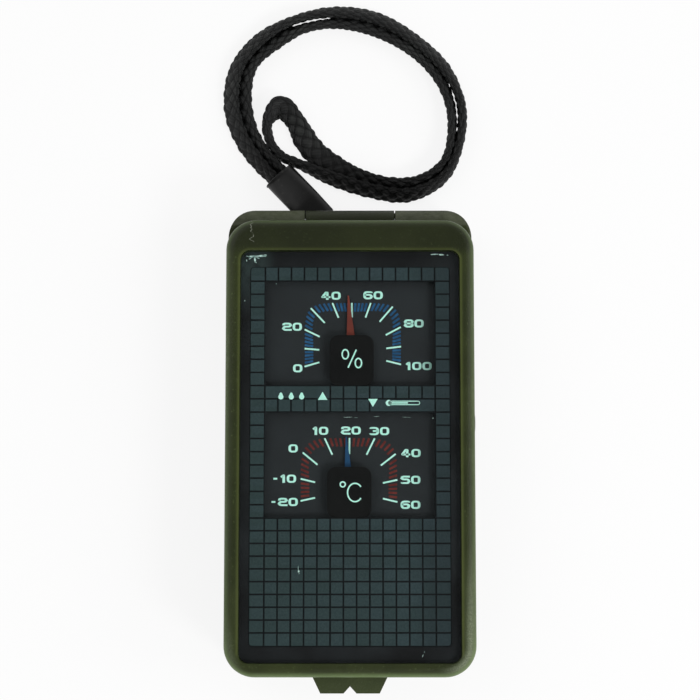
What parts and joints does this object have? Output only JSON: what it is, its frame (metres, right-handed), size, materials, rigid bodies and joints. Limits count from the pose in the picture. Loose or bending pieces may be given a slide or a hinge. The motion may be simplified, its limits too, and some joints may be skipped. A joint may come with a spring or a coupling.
{
  "type": "survival compass",
  "caption": "Hinged pocket case with a thermometer and a hygrometer in its lid, and a liquid compass, a swing-out magnifier, a small light and a whistle in its base.",
  "frame": {"origin": "middle of the bounding box's bottom, without the lanyard: the case lies on its back and z = 0 is its back face", "axes": "+Z out of the dial face, +Y towards the hinge and the lanyard, +X to the right with the dials upright"},
  "size_m": [0.0627, 0.1731, 0.0259],
  "materials": {
    "olive_shell": "moulded matt olive drab",
    "olive_inner": "moulded matt olive drab, slightly lighter",
    "black_trim": "moulded matt black",
    "black_rubber": "soft black",
    "black_cord": "woven flat cord, near black",
    "steel": "plain steel",
    "magnet": "dull steel bars",
    "brass": "turned brass",
    "clear": "clear polished acrylic",
    "mirror": "silvered",
    "card": "printed disc",
    "white_plastic": "natural nylon",
    "board": "green laminate",
    "face": "blue-black with a pattern of squares",
    "dial": "printed blue-black",
    "red_paint": "red",
    "blue_paint": "light blue"
  },
  "bodies": {
    "case": {"base_case": "olive_shell", "deck": "olive_inner", "lanyard_bar": "steel", "hinge_pin": "steel", "case_screws": "steel", "capsule_cup": "clear", "capsule_lens": "clear", "pivot_pin": "steel", "magnifier_pin": "steel", "light_switch": "black_trim", "circuit_board": "board", "light_bulb": "clear", "light_lens": "clear", "coin_cell": "steel", "cell_contact_top": "brass", "cell_contact_door": "brass", "battery_door": "olive_shell", "door_screw": "steel", "whistle": "black_trim", "lanyard_tether": "black_cord", "lanyard_sleeve": "black_rubber", "lanyard_cord": "black_cord"},
    "ring": {"azimuth_ring": "black_trim"},
    "card": {"compass_card": "card", "card_magnets": "magnet", "card_jewel": "brass"},
    "magnifier": {"magnifier_frame": "black_trim", "magnifier_lens": "clear"},
    "button": {"light_button": "black_rubber", "switch_plunger": "white_plastic"},
    "lid": {"lid_frame": "olive_shell", "hinge_knuckle": "olive_shell", "lid_back": "black_trim", "lid_screws": "steel", "mirror": "mirror", "window": "clear", "face_plate": "face", "hygrometer_dial": "dial", "hygrometer_coil": "brass", "hygrometer_cover": "black_trim", "thermometer_dial": "dial", "thermometer_coil": "steel", "thermometer_cover": "black_trim"},
    "humidity_hand": {"hygrometer_pointer": "red_paint", "hygrometer_staff": "brass"},
    "temperature_hand": {"thermometer_pointer": "blue_paint", "thermometer_staff": "brass"}
  },
  "joints": [
    {"name": "lid_hinge", "type": "hinge", "parent": "case", "child": "lid", "pos_m": [0, 0.056, 0.013], "axis": [-1, 0, 0], "range_deg": [0, 105]},
    {"name": "ring_turn", "type": "hinge", "parent": "case", "child": "ring", "pos_m": [0, 0.017, 0.0145], "axis": [0, 0, 1], "continuous": true},
    {"name": "card_turn", "type": "hinge", "parent": "case", "child": "card", "pos_m": [0, 0.017, 0.01], "axis": [0, 0, 1], "continuous": true},
    {"name": "magnifier_swing", "type": "hinge", "parent": "case", "child": "magnifier", "pos_m": [-0.0245, -0.0475, 0.0146], "axis": [0, 0, 1], "range_deg": [0, 115]},
    {"name": "button_press", "type": "slide", "parent": "case", "child": "button", "axis": [-1, 0, 0], "range_m": [0, 0.0006], "stiffness_N_per_m": 400, "springref_m": -0.0005},
    {"name": "humidity_turn", "type": "hinge", "parent": "lid", "child": "humidity_hand", "pos_m": [0.0004, 0.02235, 0.0226], "axis": [0, 0, -1], "range_deg": [-102.9, 107.1]},
    {"name": "temperature_turn", "type": "hinge", "parent": "lid", "child": "temperature_hand", "pos_m": [-0.0002, -0.01065, 0.0226], "axis": [0, 0, -1], "range_deg": [-99, 106.4]}
  ]
}
